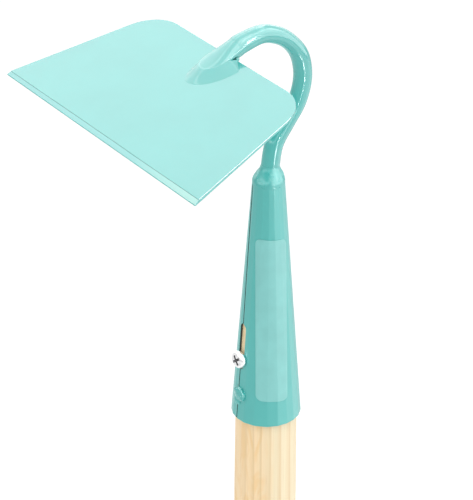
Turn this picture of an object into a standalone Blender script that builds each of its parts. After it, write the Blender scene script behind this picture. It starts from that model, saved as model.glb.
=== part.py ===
"""Socketed draw hoe: a flat steel blade on a round gooseneck, a rolled socket, a pole and a dipped grip.

The pole stands along +Z with the head at the top. The origin is on the pole's axis at the middle of
the grip. The blade reaches towards -Y, and X = 0 is the head's plane of symmetry.
"""

from math import asin, atan2, cos, pi, radians, sin

import bmesh
import bpy
from mathutils import Matrix, Vector

MM = 0.001
GAP = 0.3 * MM  # between faces that touch on the real tool

# Pole and grip
GRIP_LENGTH = 300 * MM
POLE_BELOW_RIM = 1500 * MM  # from the socket's rim down to the butt
BUTT_Z = -GRIP_LENGTH / 2
RIM_Z = BUTT_Z + POLE_BELOW_RIM
POLE_RADIUS = 15.0 * MM
POLE_RADIUS_AT_RIM = 14.6 * MM
POLE_TAPER_BELOW_RIM = 45 * MM
POLE_IN_SOCKET = 88 * MM
GRIP_RADIUS = 15.5 * MM
GRIP_WALL = 0.8 * MM
BUTT_DOME = 10 * MM

# Hang cord
HOLE_ABOVE_BUTT = 22 * MM
HOLE_RADIUS = 2.2 * MM
HOLE_AZIMUTH = radians(140)  # of the hole's axis, from -Y towards +X
CORD_RADIUS = 1.0 * MM
CORD_STEP = 4.4 * MM
KNOT_LENGTH = 6.0 * MM
KNOT_RADIUS = 2.8 * MM
KNOT_CENTRE = -21.0 * MM  # along the hole's axis

# Socket
SOCKET_RIM_RADIUS = 16.6 * MM
SOCKET_TOP_RADIUS = 7.5 * MM
SOCKET_LENGTH = 123.5 * MM
SOCKET_WALL = 1.0 * MM
SEAM_HALF_WIDTH = 0.3 * MM
SLOT_HALF_WIDTH = 2.25 * MM
SLOT_FROM, SLOT_TO = 27.0 * MM, 50.7 * MM  # above the rim
SHOULDER_HEIGHT = 7.0 * MM
SHOULDER_LEAN = 0.9 * MM  # how far back the neck has moved at the shoulder's top
SEAM_AZIMUTH_AT_RIM = radians(-3.2)  # from -Y towards +X
SEAM_TWIST = radians(-15)  # from the rim to the narrow end

# Screw in the slot, tack weld and label, all placed above the rim
SCREW_ABOVE_RIM = 32.2 * MM
SCREW_HEAD_RADIUS = 4.25 * MM
SCREW_HEAD_HEIGHT = 2.7 * MM
SCREW_SHANK_RADIUS = 1.75 * MM
SCREW_LENGTH = 17 * MM
SCREW_YAW = radians(9)  # it went in a little crooked
TACK_AZIMUTH = radians(1)
TACK_ABOVE_RIM = 13.2 * MM
TACK_SIZE = (3.3 * MM, 1.6 * MM, 4.2 * MM)  # half sizes across, out and along the seam
LABEL_AZIMUTH = radians(65)  # from -Y towards +X
LABEL_WIDTH = 16 * MM
LABEL_FROM, LABEL_TO = 13.5 * MM, 97 * MM
LABEL_CORNER = 3 * MM
LABEL_THICKNESS = 0.25 * MM
LABEL_SLANT = 0.08

# Blade
BLADE_FRONT = 150 * MM
BLADE_BACK = 113 * MM
BLADE_DEPTH = 72.3 * MM
BLADE_THICKNESS = 1.5 * MM
BLADE_EDGE_THICKNESS = 0.6 * MM
BLADE_CORNER = 19 * MM
BLADE_TILT = radians(14.5)  # the cutting edge hangs lower than the back edge
BLADE_BACK_Y = -21.1 * MM
BLADE_TOP_Z = RIM_Z + 190.5 * MM  # of the top face, at the back edge
GRIND_LEFT, GRIND_RIGHT = 2.2 * MM, 3.0 * MM  # width of the ground bevel at each front corner

# Neck: the bar's radius in the arch and at its root, and the ovals of its tongue and of the weld round it
NECK_RADIUS = 4.1 * MM
NECK_ROOT_RADIUS = 4.35 * MM
TONGUE_HALF_WIDTH = 6.4 * MM
TONGUE_REACH = 16.2 * MM
WELD_HALF_WIDTH = 12.5 * MM  # on the right
WELD_FAR_HALF_WIDTH = 8.8 * MM  # on the left
WELD_REACH = 24.0 * MM
WELD_HEIGHT = 3.2 * MM
OVAL_CENTRE = 5 * MM

ROUND = 40  # segments round a large turned piece


def clear_scene():
    for item in list(bpy.data.objects):
        bpy.data.objects.remove(item, do_unlink=True)


def paint(name, colour, roughness, metallic=0.0):
    material = bpy.data.materials.new(name)
    material.use_nodes = True
    shader = material.node_tree.nodes["Principled BSDF"]
    shader.inputs["Base Color"].default_value = (*colour, 1.0)
    shader.inputs["Roughness"].default_value = roughness
    shader.inputs["Metallic"].default_value = metallic
    material.diffuse_color = (*colour, 1.0)
    return material


def add_object(name, mesh, material, sharp_from=35):
    item = bpy.data.objects.new(name, mesh)
    bpy.context.collection.objects.link(item)
    if material:
        mesh.materials.append(material)
    mesh.shade_smooth()
    mesh.set_sharp_from_angle(angle=radians(sharp_from))
    return item


def mesh_of(name, points, faces):
    mesh = bpy.data.meshes.new(name)
    mesh.from_pydata([tuple(p) for p in points], [], faces)
    shape = bmesh.new()
    shape.from_mesh(mesh)
    bmesh.ops.recalc_face_normals(shape, faces=shape.faces)
    shape.to_mesh(mesh)
    shape.free()
    return mesh


def loft(name, rings, material):
    """A closed skin over rings of equally many points, with a flat face on each end."""
    count = len(rings[0])
    points = [p for ring in rings for p in ring]
    faces = []
    for level in range(len(rings) - 1):
        low, high = level * count, (level + 1) * count
        for i in range(count):
            j = (i + 1) % count
            faces.append((low + i, low + j, high + j, high + i))
    faces.append(tuple(range(count)))
    faces.append(tuple(range(len(points) - count, len(points))))
    return add_object(name, mesh_of(name, points, faces), material)


def circle(radius, z, segments):
    turns = (2 * pi * i / segments for i in range(segments))
    return [Vector((radius * cos(a), radius * sin(a), z)) for a in turns]


def turned(name, profile, material, segments=ROUND):
    """A solid turned about Z from (radius, z) pairs that run from one end of the axis to the other."""
    return loft(name, [circle(radius, z, segments) for radius, z in profile], material)


def cutter(item):
    item.hide_render = True
    item.display_type = "WIRE"
    return item


def cut(target, tool):
    boolean = target.modifiers.new("cut_" + tool.name, "BOOLEAN")
    boolean.operation = "DIFFERENCE"
    boolean.solver = "EXACT"
    boolean.object = tool


def smooth_path(points, steps):
    """Catmull-Rom curve through points of any dimension, with so many steps from each to the next."""
    ends = [[2 * a - b for a, b in zip(points[0], points[1])]]
    ends += [list(p) for p in points]
    ends += [[2 * a - b for a, b in zip(points[-1], points[-2])]]
    path = []
    for before, start, end, after in zip(ends, ends[1:], ends[2:], ends[3:]):
        for step in range(steps):
            t = step / steps
            weights = (
                -0.5 * t + t**2 - 0.5 * t**3,
                1 - 2.5 * t**2 + 1.5 * t**3,
                0.5 * t + 2 * t**2 - 1.5 * t**3,
                -0.5 * t**2 + 0.5 * t**3,
            )
            corners = zip(before, start, end, after)
            path.append([sum(w * c for w, c in zip(weights, four)) for four in corners])
    path.append(list(points[-1]))
    return path


def socket_lean():
    return atan2(SOCKET_RIM_RADIUS - SOCKET_TOP_RADIUS, SOCKET_LENGTH)


def seam_azimuth(height):
    """Where the seam stands round the socket: it wanders off to the left towards the narrow end."""
    return SEAM_AZIMUTH_AT_RIM + SEAM_TWIST * max(height / SOCKET_LENGTH, 0) ** 2


def on_socket(azimuth, height):
    """Axes on the socket's surface at a height above its rim: -Y out of the socket, Z up."""
    turn = Matrix.Rotation(azimuth, 4, "Z")
    return turn @ Matrix.Translation((0, -socket_radius(height), RIM_Z + height))


def socket_radius(height):
    """Outer radius of the socket at a height above its rim."""
    fall = (SOCKET_RIM_RADIUS - SOCKET_TOP_RADIUS) / SOCKET_LENGTH
    return SOCKET_RIM_RADIUS - fall * height


def on_blade(reach, lift):
    """(y, z) of a point so far forward of the back edge, and so far above the blade's top face."""
    y = BLADE_BACK_Y - reach * cos(BLADE_TILT) - lift * sin(BLADE_TILT)
    z = BLADE_TOP_Z - reach * sin(BLADE_TILT) + lift * cos(BLADE_TILT)
    return y, z


def blade_matrix():
    """Blade axes: X across, Y back from the cutting edge, Z out of the top face."""
    place = Matrix.Translation((0, BLADE_BACK_Y, BLADE_TOP_Z))
    return place @ Matrix.Rotation(BLADE_TILT, 4, "X")


def hole_matrix():
    """Hole axes: X along the cross hole, Y level and away from it, Z up."""
    place = Matrix.Translation((0, 0, BUTT_Z + HOLE_ABOVE_BUTT))
    return place @ Matrix.Rotation(HOLE_AZIMUTH - pi / 2, 4, "Z")


def make_blade(material):
    """A plate whose top face is ground down to a thin edge at the front."""
    half_front, half_back = BLADE_FRONT / 2, BLADE_BACK / 2
    lean = atan2(half_front - half_back, BLADE_DEPTH)
    corner_x = half_back - BLADE_CORNER * (1 - sin(lean)) / cos(lean)
    outline = [(half_front, -BLADE_DEPTH)]
    for i in range(13):
        turn = lean + (pi / 2 - lean) * i / 12
        x = corner_x + BLADE_CORNER * cos(turn)
        outline.append((x, BLADE_CORNER * (sin(turn) - 1)))
    outline += [(-x, y) for x, y in reversed(outline)]
    low, edge, high = -BLADE_THICKNESS, -BLADE_THICKNESS + BLADE_EDGE_THICKNESS, 0.0
    side = Vector((half_back - half_front, BLADE_DEPTH)).normalized()
    right = Vector(outline[0]) + side * GRIND_RIGHT
    left = Vector(outline[-1]) + Vector((-side.x, side.y)) * GRIND_LEFT
    top = [tuple(right)] + outline[1:-1] + [tuple(left)]
    count = len(outline)
    points = [(x, y, low) for x, y in outline] + [(x, y, high) for x, y in top]
    points += [(*outline[0], edge), (*outline[-1], edge)]
    edge_right, edge_left = 2 * count, 2 * count + 1
    faces = [tuple(range(count)), tuple(range(count, 2 * count))]
    for i in range(1, count - 2):
        faces.append((i, i + 1, count + i + 1, count + i))
    faces.append((0, 1, count + 1, count, edge_right))
    faces.append((count - 2, count - 1, edge_left, 2 * count - 1, 2 * count - 2))
    faces.append((count, 2 * count - 1, edge_left, edge_right))
    faces.append((edge_right, edge_left, count - 1, 0))
    blade = add_object("blade", mesh_of("blade", points, faces), material, 20)
    blade.matrix_world = blade_matrix()
    return blade


def neck_stations():
    """(y, z, half width, height above, depth below, squareness) along the bar, from the socket to the toe."""
    along = [  # y and height above the rim in mm, and how far the bar has grown towards its root's radius
        (0.0, 108, 1.0),
        (0.3, 120, 1.0),
        (0.9, 131, 1.0),
        (3.1, 141.5, 0.8),
        (9.3, 150.5, 0.6),
        (15.3, 159.2, 0.7),
        (18.1, 170, 0.9),
        (16.5, 180.7, 0.8),
        (11.1, 188.8, -0.8),
        (3.6, 194.4, -0.2),
        (-5.2, 197.0, 0.6),
    ]
    stations = []
    for y, z, rooted in along:
        radius = NECK_RADIUS + rooted * (NECK_ROOT_RADIUS - NECK_RADIUS)
        stations.append((y * MM, RIM_Z + z * MM, radius, radius, radius, 2.0))
    tongue = (  # reach past the back edge, the middle's lift off the blade, and the three sizes, in mm
        (-7.0, 3.4, 4.7, 4.45, 4.7, 2.0),
        (-3.2, 3.1, 5.0, 4.0, 4.65, 2.0),
        (-1.3, 2.98, 5.2, 3.7, 4.45, 2.0),
        (0.3, 2.86, 5.35, 3.4, 2.5, 2.05),
        (4.5, 2.5, 6.0, 2.6, 2.2, 2.15),
        (8.5, 2.15, 6.4, 2.0, 1.85, 2.3),
        (12.0, 1.9, 6.0, 1.6, 1.6, 2.4),
        (14.6, 1.7, 4.6, 1.4, 1.4, 2.4),
    )
    for reach, lift, *sizes, squareness in tongue:
        place = on_blade(reach * MM, lift * MM)
        stations.append((*place, *(size * MM for size in sizes), squareness))
    stations.append((*on_blade(TONGUE_REACH, 1.6 * MM), 2.0 * MM, 1.2 * MM, 1.2 * MM, 2.4))
    return stations


def neck_rings(stations, grow=0.0, segments=20):
    """Rounded sections square to the bar's line, which lies in the plane X = 0."""
    path = smooth_path(stations, 3)
    rings = []
    for i, (y, z, half_width, above, below, squareness) in enumerate(path):
        before, after = path[max(i - 1, 0)], path[min(i + 1, len(path) - 1)]
        line = Vector((0, after[0] - before[0], after[1] - before[1])).normalized()
        down = Vector((1, 0, 0)).cross(line)
        ring = []
        for k in range(segments):
            turn = 2 * pi * k / segments
            c, s = cos(turn), sin(turn)
            across = (half_width + grow) * abs(c) ** (2 / squareness) * (1 if c > 0 else -1)
            drop = (below + grow if s > 0 else -above - grow) * abs(s) ** (2 / squareness)
            ring.append(Vector((across, y, z)) + down * drop)
        rings.append(ring)
    return rings


def make_neck(material):
    return loft("neck", neck_rings(neck_stations()), material)


def make_tongue_weld(material):
    """A bead in the shape of a horseshoe, sloping from the tongue's top down to the blade."""
    inner = TONGUE_HALF_WIDTH + GAP
    slope = ((0, GAP), (0, WELD_HEIGHT), (0.3, 0.8 * WELD_HEIGHT), (0.65, 0.4 * WELD_HEIGHT))
    section = slope + ((1, 2 * GAP), (1, GAP))
    turns, tail_steps = 9, 3
    toe, foot = TONGUE_REACH + GAP - OVAL_CENTRE, WELD_REACH - OVAL_CENTRE
    rings = []
    for i in range(-turns - tail_steps, turns + tail_steps + 1):
        turn = radians(90) * max(-1, min(i / turns, 1))
        tail = max(abs(i) - turns, 0) / tail_steps  # the bead dies away towards its two ends
        width = (WELD_HALF_WIDTH if turn > 0 else WELD_FAR_HALF_WIDTH) - 1.6 * MM * tail**2
        inside = Vector((inner * sin(turn), OVAL_CENTRE * (1 - 0.96 * tail) + toe * cos(turn)))
        outside = Vector((width * sin(turn), OVAL_CENTRE * (1 - 0.52 * tail) + foot * cos(turn)))
        low_end = 1 - 0.7 * tail**1.5
        ring = []
        for share, height in section:
            x, reach = inside.lerp(outside, share)
            ring.append(Vector((x, -reach, GAP + (height - GAP) * low_end)))
        rings.append(ring)
    weld = loft("tongue_weld", rings, material)
    weld.matrix_world = blade_matrix()
    cut(weld, cutter(loft("neck_space", neck_rings(neck_stations(), GAP), None)))
    return weld


def make_socket_weld(material):
    """The rounded shoulder between the socket's narrow end and the neck."""
    base = RIM_Z + SOCKET_LENGTH + GAP
    fall = SOCKET_TOP_RADIUS - NECK_ROOT_RADIUS - 0.4 * MM
    rings = []
    for i in range(9):
        share = i / 8
        radius = SOCKET_TOP_RADIUS - fall * (1 - cos(pi * share)) / 2
        aside = Vector((0, SHOULDER_LEAN * share, 0))
        rings.append([point + aside for point in circle(radius, base + SHOULDER_HEIGHT * share, 32)])
    weld = loft("socket_weld", rings, material)
    cut(weld, cutter(loft("shoulder_space", neck_rings(neck_stations(), GAP), None)))
    return weld


def seam_half_width(height):
    """Half the width of the opening between the rolled edges, wider along the slot."""
    if SLOT_FROM < height < SLOT_TO:
        nearest_end = min(height - SLOT_FROM, SLOT_TO - height)
        inside = max(SLOT_HALF_WIDTH - nearest_end, 0)
        return max(SEAM_HALF_WIDTH, (SLOT_HALF_WIDTH**2 - inside**2) ** 0.5)
    return SEAM_HALF_WIDTH


def make_socket(material):
    """A rolled sheet: a C-shaped ring at each height, open towards -Y."""
    ends = [0, 0.6, 1.3, 2.2]
    heights = [0, 8 * MM, 18 * MM]
    heights += [SLOT_FROM + step * MM for step in ends]
    heights += [SLOT_TO - step * MM for step in reversed(ends)]
    heights += [SOCKET_LENGTH - step * MM for step in (60, 48, 36, 24, 12, 0)]
    rings = []
    for height in heights:
        outer = socket_radius(height)
        opening = seam_half_width(height)
        ring = []
        for radius, order in ((outer, range(37)), (outer - SOCKET_WALL, range(36, -1, -1))):
            start = asin(opening / radius)
            for k in order:
                turn = seam_azimuth(height) + start + (2 * pi - 2 * start) * k / 36
                ring.append(Vector((radius * sin(turn), -radius * cos(turn), RIM_Z + height)))
        rings.append(ring)
    return loft("socket", rings, material)


def make_seam_tack(material):
    shape = bmesh.new()
    place = on_socket(TACK_AZIMUTH, TACK_ABOVE_RIM) @ Matrix.Diagonal((*TACK_SIZE, 1.0))
    bmesh.ops.create_uvsphere(shape, u_segments=20, v_segments=12, radius=1.0, matrix=place)
    mesh = bpy.data.meshes.new("seam_tack")
    shape.to_mesh(mesh)
    shape.free()
    tack = add_object("seam_tack", mesh, material)
    ends = (TACK_ABOVE_RIM - 10 * MM, TACK_ABOVE_RIM + 10 * MM)
    cone = [(socket_radius(height) + GAP, RIM_Z + height) for height in ends]
    cut(tack, cutter(turned("socket_space", cone, None, 96)))
    return tack


def screw_matrix():
    """Screw axes: Z out of the socket, square to its slope, from the socket's surface."""
    place = on_socket(seam_azimuth(SCREW_ABOVE_RIM), SCREW_ABOVE_RIM)
    turn = Matrix.Rotation(SCREW_YAW, 4, "Z")
    return place @ turn @ Matrix.Rotation(pi / 2 - socket_lean(), 4, "X")


def make_screw(material):
    """Pan head over a plain shank with a point, and a tapered cross recess."""
    profile = [(0.1 * MM, -SCREW_LENGTH), (SCREW_SHANK_RADIUS, -SCREW_LENGTH + 4 * MM)]
    profile += [(SCREW_SHANK_RADIUS, GAP), (SCREW_HEAD_RADIUS, GAP)]
    rim = 0.9 * MM
    profile.append((SCREW_HEAD_RADIUS, GAP + rim))
    for i in range(1, 7):
        turn = radians(72) * i / 6
        top = GAP + rim + (SCREW_HEAD_HEIGHT - rim) * sin(turn) / sin(radians(72))
        profile.append((SCREW_HEAD_RADIUS * cos(turn) ** 0.5, top))
    screw = turned("socket_screw", profile, material, 32)
    screw.matrix_world = screw_matrix()
    for k in range(2):
        top, bottom = GAP + SCREW_HEAD_HEIGHT + 0.2 * MM, GAP + 0.8 * MM
        rings = []
        for z, long, wide in ((bottom, 0.9 * MM, 0.3 * MM), (top, 2.4 * MM, 0.55 * MM)):
            corners = ((long, wide), (-long, wide), (-long, -wide), (long, -wide))
            rings.append([Vector((x, y, z)) for x, y in corners])
        wing = cutter(loft(f"recess_{k}", rings, None))
        wing.matrix_world = screw_matrix() @ Matrix.Rotation(radians(38 + 90 * k), 4, "Z")
        cut(screw, wing)
    return screw


def make_label(material):
    """A thin rectangle with round corners, wrapped on the socket."""
    columns, steps = 12, 6
    turns = [radians(90) * i / steps for i in range(steps + 1)]
    corner = [(LABEL_CORNER * (1 - cos(t)), LABEL_CORNER * (1 - sin(t))) for t in turns]
    rows = [(LABEL_FROM + up, LABEL_WIDTH / 2 - inset) for up, inset in corner]
    rows += [(LABEL_FROM + (LABEL_TO - LABEL_FROM) * i / 6, LABEL_WIDTH / 2) for i in range(1, 6)]
    rows += [(LABEL_TO - up, LABEL_WIDTH / 2 - inset) for up, inset in reversed(corner)]
    rings = []
    for height, half_width in rows:
        ring = []
        for lift, order in ((GAP + LABEL_THICKNESS, range(columns + 1)), (GAP, range(columns, -1, -1))):
            radius = socket_radius(height) + lift
            for k in order:
                aside = half_width * (2 * k / columns - 1)
                turn = LABEL_AZIMUTH + aside / radius
                sag = LABEL_SLANT * aside + aside**2 * sin(socket_lean()) / (2 * radius)
                ring.append(Vector((radius * sin(turn), -radius * cos(turn), RIM_Z + height - sag)))
        rings.append(ring)
    return loft("label", rings, material)


def butt_dome(radius, height, base):
    """(radius, z) of a rounded end, from near the axis out to the straight side."""
    turns = [radians(78 - 13 * i) for i in range(7)]
    return [(radius * cos(t), base - height * sin(t) / sin(turns[0])) for t in turns]


def make_pole(material):
    inside = GRIP_WALL + GAP
    grip_top = BUTT_Z + GRIP_LENGTH
    top = RIM_Z + POLE_IN_SOCKET
    clearance = SOCKET_WALL + GAP
    into_socket = 20 * MM
    profile = butt_dome(GRIP_RADIUS - inside, BUTT_DOME - inside, BUTT_Z + BUTT_DOME)
    profile += [
        (GRIP_RADIUS - inside, grip_top - 1.5 * MM),
        (POLE_RADIUS, grip_top + GAP),
        (POLE_RADIUS, RIM_Z - POLE_TAPER_BELOW_RIM),
        (POLE_RADIUS_AT_RIM, RIM_Z),
        (socket_radius(into_socket) - clearance, RIM_Z + into_socket),
        (socket_radius(POLE_IN_SOCKET) - clearance, top - 1 * MM),
        (socket_radius(POLE_IN_SOCKET) - clearance - 1 * MM, top),
    ]
    pole = turned("pole", profile, material)
    pilot = SCREW_SHANK_RADIUS + GAP
    drill = [(pilot, -SCREW_LENGTH - 1 * MM), (pilot, 1 * MM)]
    pilot_hole = cutter(turned("pilot_hole", drill, None, 24))
    pilot_hole.matrix_world = screw_matrix()
    cut(pole, pilot_hole)
    cut(pole, cross_drill("pole_drill", HOLE_RADIUS))
    return pole


def cross_drill(name, radius):
    reach = POLE_RADIUS + 5 * MM
    drill = cutter(turned(name, [(radius, -reach), (radius, reach)], None, 24))
    drill.matrix_world = hole_matrix() @ Matrix.Rotation(pi / 2, 4, "Y")
    return drill


def make_grip(material):
    """A dipped sleeve: up its outer side from the rounded butt, and back down its inner side."""
    top = BUTT_Z + GRIP_LENGTH
    inner = GRIP_RADIUS - GRIP_WALL
    outside = butt_dome(GRIP_RADIUS, BUTT_DOME, BUTT_Z + BUTT_DOME)
    outside += [(GRIP_RADIUS, top - 1 * MM), (GRIP_RADIUS - 0.25 * MM, top - 0.3 * MM)]
    inside = [(POLE_RADIUS + GAP, top - 0.3 * MM), (inner, top - 1.8 * MM)]
    inside += reversed(butt_dome(inner, BUTT_DOME - GRIP_WALL, BUTT_Z + BUTT_DOME))
    grip = turned("grip", outside + inside, material)
    cut(grip, cross_drill("grip_drill", HOLE_RADIUS))
    return grip


def cord_route():
    """The cord's own points in the hole's axes, from the knot through the hole and round the loop."""
    knot_near, knot_far = KNOT_CENTRE + KNOT_LENGTH / 2 + GAP, KNOT_CENTRE - KNOT_LENGTH / 2 - GAP
    loop = [
        (-9.0, 0.0, 0.0),
        (0.0, 0.0, 0.0),
        (9.0, 0.0, 0.0),
        (17.5, 0.2, -0.1),
        (27.0, 2.2, -0.8),
        (36.5, 8.2, -2.4),
        (43.0, 17.2, -4.6),
        (44.0, 27.5, -6.6),
        (38.5, 37.0, -8.2),
        (28.0, 43.6, -9.2),
        (14.0, 46.8, -9.6),
        (-1.0, 46.4, -9.4),
        (-15.0, 42.4, -8.6),
        (-26.5, 34.6, -7.2),
        (-33.4, 23.8, -5.2),
        (-34.8, 12.6, -2.9),
        (-31.2, 4.2, -1.0),
    ]
    points = [(knot_near, 0.0, 0.0)]
    points += [(along * MM, away * MM, up * MM) for along, away, up in loop]
    return points + [(knot_far - 1.5 * MM, 0.2 * MM, 0.0), (knot_far, 0.0, 0.0)]


def evenly_spaced(path, step):
    """Points about one step apart along a fine path, with its two ends kept."""
    points = [Vector(p) for p in path]
    length = sum((b - a).length for a, b in zip(points, points[1:]))
    count = round(length / step)
    spaced, done, wanted = [points[0]], 0.0, length / count
    for a, b in zip(points, points[1:]):
        run = (b - a).length
        while done + run >= wanted and len(spaced) < count:
            spaced.append(a.lerp(b, (wanted - done) / run))
            wanted += length / count
        done += run
    return spaced + [points[-1]]


def make_cord(material):
    path = evenly_spaced(smooth_path(cord_route(), 12), CORD_STEP)
    curve = bpy.data.curves.new("hang_cord", "CURVE")
    curve.dimensions = "3D"
    curve.bevel_depth = CORD_RADIUS
    curve.bevel_resolution = 2
    curve.use_fill_caps = True
    curve.materials.append(material)
    spline = curve.splines.new("POLY")
    spline.points.add(len(path) - 1)
    for point, place in zip(spline.points, path):
        point.co = (*place, 1.0)
    cord = bpy.data.objects.new("hang_cord", curve)
    bpy.context.collection.objects.link(cord)
    return cord


def make_knot(material):
    """Three fat turns side by side."""
    profile = []
    turn_length = KNOT_LENGTH / 3
    for k in range(3):
        for i in range(6):
            turn = pi * i / 6
            along = KNOT_CENTRE - KNOT_LENGTH / 2 + turn_length * (k + (1 - cos(turn)) / 2)
            profile.append((KNOT_RADIUS - 0.8 * MM * (1 - sin(turn)), along))
    profile.append((KNOT_RADIUS - 0.8 * MM, KNOT_CENTRE + KNOT_LENGTH / 2))
    knot = turned("cord_knot", profile, material, 20)
    knot.matrix_local = Matrix.Rotation(pi / 2, 4, "Y")
    return knot


def make_hang_loop(cord_material):
    """The cord and its knot under one empty that sits on the axis they swing about."""
    swing = bpy.data.objects.new("hang_loop_axis", None)
    bpy.context.collection.objects.link(swing)
    swing.matrix_world = hole_matrix()
    for item in (make_cord(cord_material), make_knot(cord_material)):
        item.parent = swing


def main():
    clear_scene()
    turquoise = paint("turquoise_paint", (0.24, 0.65, 0.61), 0.22)
    zinc = paint("zinc", (0.80, 0.80, 0.78), 0.25, 1.0)
    pine = paint("pine", (0.86, 0.70, 0.46), 0.55)
    pink = paint("pink_dip", (0.76, 0.07, 0.23), 0.35)
    film = paint("label_film", (0.36, 0.75, 0.71), 0.4)
    cord = paint("cord", (0.16, 0.13, 0.14), 0.8)
    make_blade(turquoise)
    make_neck(turquoise)
    make_tongue_weld(turquoise)
    make_socket_weld(turquoise)
    make_socket(turquoise)
    make_seam_tack(turquoise)
    make_screw(zinc)
    make_label(film)
    make_pole(pine)
    make_grip(pink)
    make_hang_loop(cord)


main()
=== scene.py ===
"""Looks of the socketed draw hoe: painted head, pine pole, dipped grip and cord loop, in a soft studio."""

from math import asin, atan2, cos, exp, pi, radians, sin

import bmesh
import bpy
from mathutils import Matrix, Vector, noise


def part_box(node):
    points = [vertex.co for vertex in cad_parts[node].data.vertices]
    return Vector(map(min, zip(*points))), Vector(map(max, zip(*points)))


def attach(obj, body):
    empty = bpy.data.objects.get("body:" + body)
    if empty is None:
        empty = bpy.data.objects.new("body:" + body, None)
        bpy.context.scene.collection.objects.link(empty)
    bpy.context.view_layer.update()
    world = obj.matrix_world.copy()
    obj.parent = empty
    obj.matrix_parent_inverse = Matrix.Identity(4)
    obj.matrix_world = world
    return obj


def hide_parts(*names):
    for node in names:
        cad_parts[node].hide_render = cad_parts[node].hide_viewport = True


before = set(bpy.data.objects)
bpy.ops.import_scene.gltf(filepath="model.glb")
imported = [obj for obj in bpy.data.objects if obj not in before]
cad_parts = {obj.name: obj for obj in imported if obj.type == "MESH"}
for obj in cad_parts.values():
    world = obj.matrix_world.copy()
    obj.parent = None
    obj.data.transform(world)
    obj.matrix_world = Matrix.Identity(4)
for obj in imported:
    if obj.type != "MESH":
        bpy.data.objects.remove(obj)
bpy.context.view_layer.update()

MM = 0.001

# Places read from the frame
RIM_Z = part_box("socket")[0].z
SOCKET_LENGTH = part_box("socket")[1].z - RIM_Z
BUTT_Z, GRIP_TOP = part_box("grip")[0].z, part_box("grip")[1].z
GRIP_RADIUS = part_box("grip")[1].x
POLE_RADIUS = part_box("pole")[1].x
POLE_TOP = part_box("pole")[1].z

# Sizes repeated from the part
GRIP_WALL = 0.8 * MM
BUTT_DOME = 10 * MM
POLE_RADIUS_AT_RIM = 14.6 * MM
POLE_TAPER_BELOW_RIM = 45 * MM
HOLE_Z = BUTT_Z + 22 * MM
HOLE_RADIUS = 2.2 * MM
HOLE_AZIMUTH = radians(140)
CORD_RADIUS = 1.0 * MM
CORD_STEP = 4.4 * MM
CORD_STRANDS, CORD_LAY = 3, 7.0 * MM  # strands, and the run in which each turns once
KNOT_LENGTH = 6.0 * MM
KNOT_CENTRE = -21.0 * MM
SOCKET_RIM_RADIUS, SOCKET_TOP_RADIUS = 16.6 * MM, 7.5 * MM
SOCKET_WALL = 1.0 * MM
SEAM_HALF_WIDTH, SLOT_HALF_WIDTH = 0.3 * MM, 2.25 * MM
SLOT_FROM, SLOT_TO = 27.0 * MM, 50.7 * MM
SHOULDER_HEIGHT, SHOULDER_LEAN = 7.0 * MM, 0.9 * MM
SEAM_AZIMUTH_AT_RIM, SEAM_TWIST = radians(-3.2), radians(-15)
SCREW_ABOVE_RIM = 32.2 * MM
SCREW_HEAD_RADIUS, SCREW_HEAD_HEIGHT = 4.25 * MM, 2.7 * MM
SCREW_SHANK_RADIUS, SCREW_LENGTH = 1.75 * MM, 17 * MM
SCREW_YAW = radians(9)
TACK_AZIMUTH = radians(1)
TACK_ABOVE_RIM = 13.2 * MM
TACK_SIZE = (4.4 * MM, 1.7 * MM, 4.3 * MM)
LABEL_AZIMUTH = radians(65)
LABEL_WIDTH = 16 * MM
LABEL_FROM, LABEL_TO = 13.5 * MM, 97 * MM
LABEL_CORNER = 3 * MM
LABEL_SLANT = 0.08
BLADE_FRONT, BLADE_BACK, BLADE_DEPTH = 150 * MM, 113 * MM, 72.3 * MM
BLADE_THICKNESS, BLADE_EDGE_THICKNESS = 1.5 * MM, 0.6 * MM
BLADE_CORNER = 19 * MM
BLADE_TILT = radians(14.5)
BLADE_BACK_Y, BLADE_TOP_Z = -21.1 * MM, RIM_Z + 190.5 * MM
GRIND_LEFT, GRIND_RIGHT = 2.2 * MM, 3.0 * MM
NECK_RADIUS, NECK_ROOT_RADIUS = 4.1 * MM, 4.35 * MM
TONGUE_HALF_WIDTH, TONGUE_REACH = 6.4 * MM, 16.2 * MM
WELD_HALF_WIDTH, WELD_FAR_HALF_WIDTH = 12.5 * MM, 8.8 * MM
WELD_REACH, WELD_HEIGHT = 24.0 * MM, 3.2 * MM
OVAL_CENTRE = 5 * MM

# Camera: where it stands round the socket's rim, and how it is turned and framed
CAMERA_AZIMUTH, CAMERA_ELEVATION = radians(54.93), radians(29.51)
CAMERA_ROLL = radians(0.25)
CAMERA_DISTANCE = 1.17058
CAMERA_ASIDE, CAMERA_ABOVE = -0.01410, 0.07557
CAMERA_LENS = 176.12  # mm, on a 36 mm sensor

FLOOR_BELOW_BUTT = 60 * MM
FLOOR_RADIUS, FLOOR_GLOW = 14.0, 0.28
WORLD_STRENGTH = 0.8
HEAD_CENTRE = (0, -0.03, 0.15)  # from the middle of the socket's rim

# Material slots after the first, on the blade, the socket and the screw
GROUND_SLOT, CREASE_SHADE_SLOT, EDGE_HIGHLIGHT_SLOT = 1, 2, 3
GAP_SHADE_SLOT = SHADOW_SLOT = 1


# ---------------------------------------------------------------- shapes

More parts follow.
